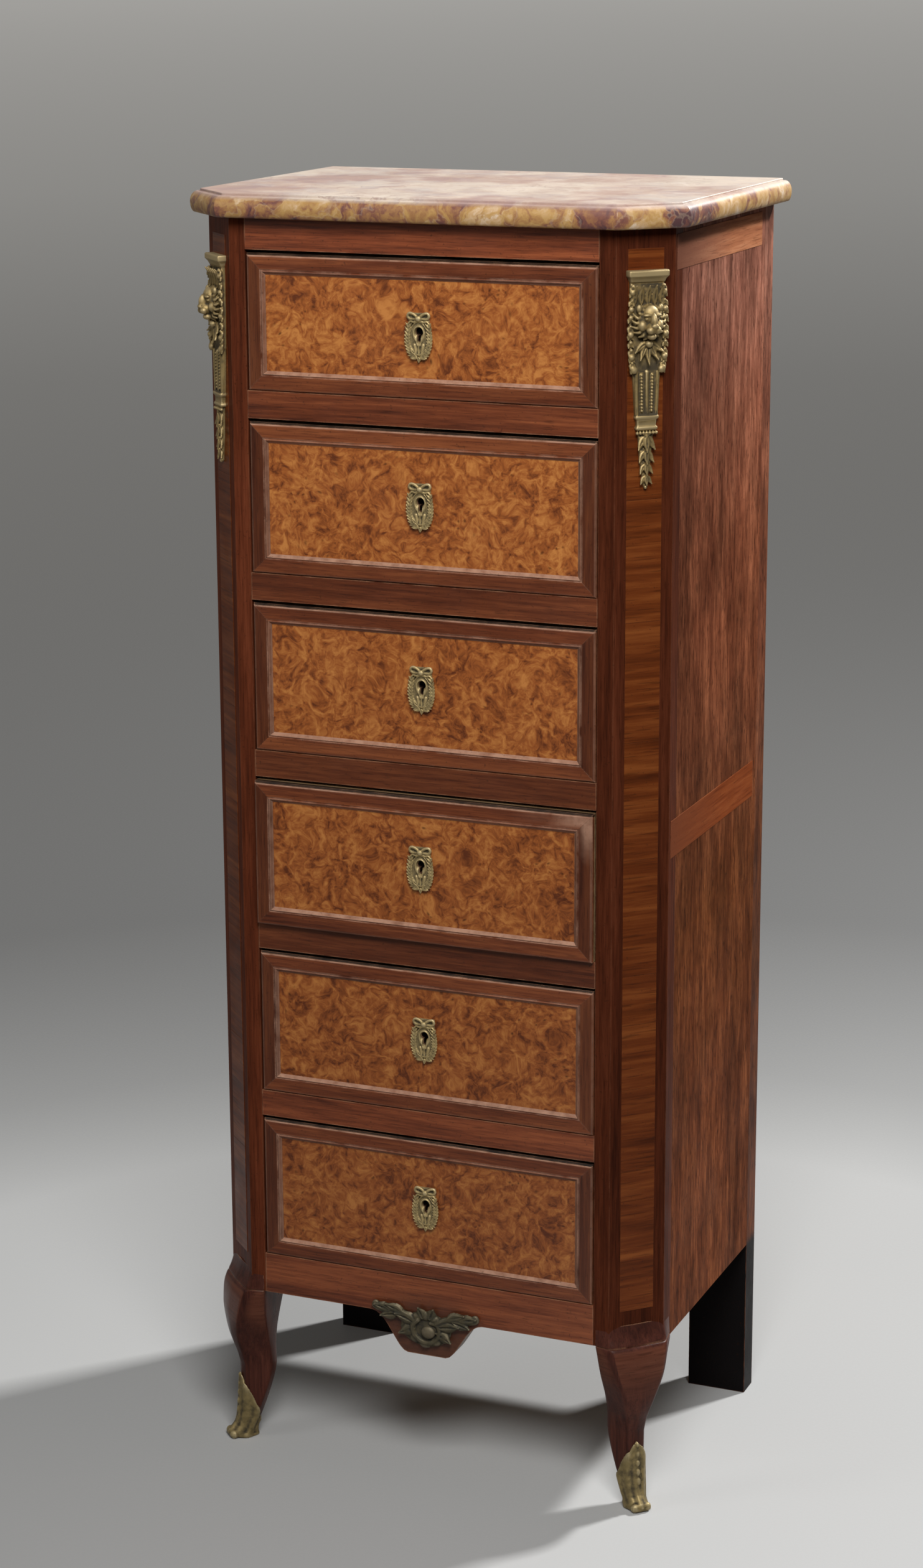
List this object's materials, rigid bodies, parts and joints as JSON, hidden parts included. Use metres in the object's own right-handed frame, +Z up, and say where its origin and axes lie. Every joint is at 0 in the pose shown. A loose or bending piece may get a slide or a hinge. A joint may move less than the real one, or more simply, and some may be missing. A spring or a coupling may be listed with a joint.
{
  "type": "chiffonier",
  "caption": "Tall narrow chest of drawers with a marble top, canted front corners, cabriole front legs, gilt mounts and locking veneered drawers.",
  "frame": {"origin": "on the floor, under the middle of the overall box", "axes": "+Z up, -Y out of the drawer fronts, +X to the right of someone who faces them"},
  "size_m": [0.492, 0.349, 1.25],
  "materials": {
    "breccia_marble": "polished breccia marble, ochre and pink with cream and violet veins",
    "rosewood_veneer": "polished red-brown rosewood veneer",
    "burr_veneer": "polished orange-brown burr veneer in a rosewood frame",
    "oak": "plain unpolished oak",
    "gilt_bronze": "cast and gilt bronze with dark hollows",
    "iron": "filed iron lock parts, dull"
  },
  "bodies": {
    "case": {"marble_top": "breccia_marble", "top_board": "oak", "top_rail": "rosewood_veneer", "apron_rail": "rosewood_veneer", "bottom_board": "oak", "back_panel": "oak", "apron_mount": "gilt_bronze", "drawer_divider_1": "rosewood_veneer", "drawer_divider_2": "rosewood_veneer", "drawer_divider_3": "rosewood_veneer", "drawer_divider_4": "rosewood_veneer", "drawer_divider_5": "rosewood_veneer", "left_front_post": "rosewood_veneer", "left_front_leg": "rosewood_veneer", "left_rear_stile": "rosewood_veneer", "left_side_panel": "rosewood_veneer", "left_shoe": "gilt_bronze", "left_corner_mount": "gilt_bronze", "right_front_post": "rosewood_veneer", "right_front_leg": "rosewood_veneer", "right_rear_stile": "rosewood_veneer", "right_side_panel": "rosewood_veneer", "right_shoe": "gilt_bronze", "right_corner_mount": "gilt_bronze"},
    "drawer_1": {"drawer_1_front": "burr_veneer", "drawer_1_lining": "oak", "drawer_1_bottom": "oak", "drawer_1_lock": "iron", "drawer_1_escutcheon": "gilt_bronze"},
    "bolt_1": {"drawer_1_bolt": "iron"},
    "drawer_2": {"drawer_2_front": "burr_veneer", "drawer_2_lining": "oak", "drawer_2_bottom": "oak", "drawer_2_lock": "iron", "drawer_2_escutcheon": "gilt_bronze"},
    "bolt_2": {"drawer_2_bolt": "iron"},
    "drawer_3": {"drawer_3_front": "burr_veneer", "drawer_3_lining": "oak", "drawer_3_bottom": "oak", "drawer_3_lock": "iron", "drawer_3_escutcheon": "gilt_bronze"},
    "bolt_3": {"drawer_3_bolt": "iron"},
    "drawer_4": {"drawer_4_front": "burr_veneer", "drawer_4_lining": "oak", "drawer_4_bottom": "oak", "drawer_4_lock": "iron", "drawer_4_escutcheon": "gilt_bronze"},
    "bolt_4": {"drawer_4_bolt": "iron"},
    "drawer_5": {"drawer_5_front": "burr_veneer", "drawer_5_lining": "oak", "drawer_5_bottom": "oak", "drawer_5_lock": "iron", "drawer_5_escutcheon": "gilt_bronze"},
    "bolt_5": {"drawer_5_bolt": "iron"},
    "drawer_6": {"drawer_6_front": "burr_veneer", "drawer_6_lining": "oak", "drawer_6_bottom": "oak", "drawer_6_lock": "iron", "drawer_6_escutcheon": "gilt_bronze"},
    "bolt_6": {"drawer_6_bolt": "iron"}
  },
  "joints": [
    {"name": "drawer_1_slide", "type": "slide", "parent": "case", "child": "drawer_1", "axis": [0, -1, 0], "range_m": [0, 0.2]},
    {"name": "bolt_1_throw", "type": "slide", "parent": "drawer_1", "child": "bolt_1", "axis": [0, 0, 1], "range_m": [0, 0.009]},
    {"name": "drawer_2_slide", "type": "slide", "parent": "case", "child": "drawer_2", "axis": [0, -1, 0], "range_m": [0, 0.2]},
    {"name": "bolt_2_throw", "type": "slide", "parent": "drawer_2", "child": "bolt_2", "axis": [0, 0, 1], "range_m": [0, 0.009]},
    {"name": "drawer_3_slide", "type": "slide", "parent": "case", "child": "drawer_3", "axis": [0, -1, 0], "range_m": [0, 0.2]},
    {"name": "bolt_3_throw", "type": "slide", "parent": "drawer_3", "child": "bolt_3", "axis": [0, 0, 1], "range_m": [0, 0.009]},
    {"name": "drawer_4_slide", "type": "slide", "parent": "case", "child": "drawer_4", "axis": [0, -1, 0], "range_m": [-0.006, 0.194]},
    {"name": "bolt_4_throw", "type": "slide", "parent": "drawer_4", "child": "bolt_4", "axis": [0, 0, 1], "range_m": [0, 0.009]},
    {"name": "drawer_5_slide", "type": "slide", "parent": "case", "child": "drawer_5", "axis": [0, -1, 0], "range_m": [0, 0.2]},
    {"name": "bolt_5_throw", "type": "slide", "parent": "drawer_5", "child": "bolt_5", "axis": [0, 0, 1], "range_m": [0, 0.009]},
    {"name": "drawer_6_slide", "type": "slide", "parent": "case", "child": "drawer_6", "axis": [0, -1, 0], "range_m": [0, 0.2]},
    {"name": "bolt_6_throw", "type": "slide", "parent": "drawer_6", "child": "bolt_6", "axis": [0, 0, 1], "range_m": [0, 0.009]}
  ]
}
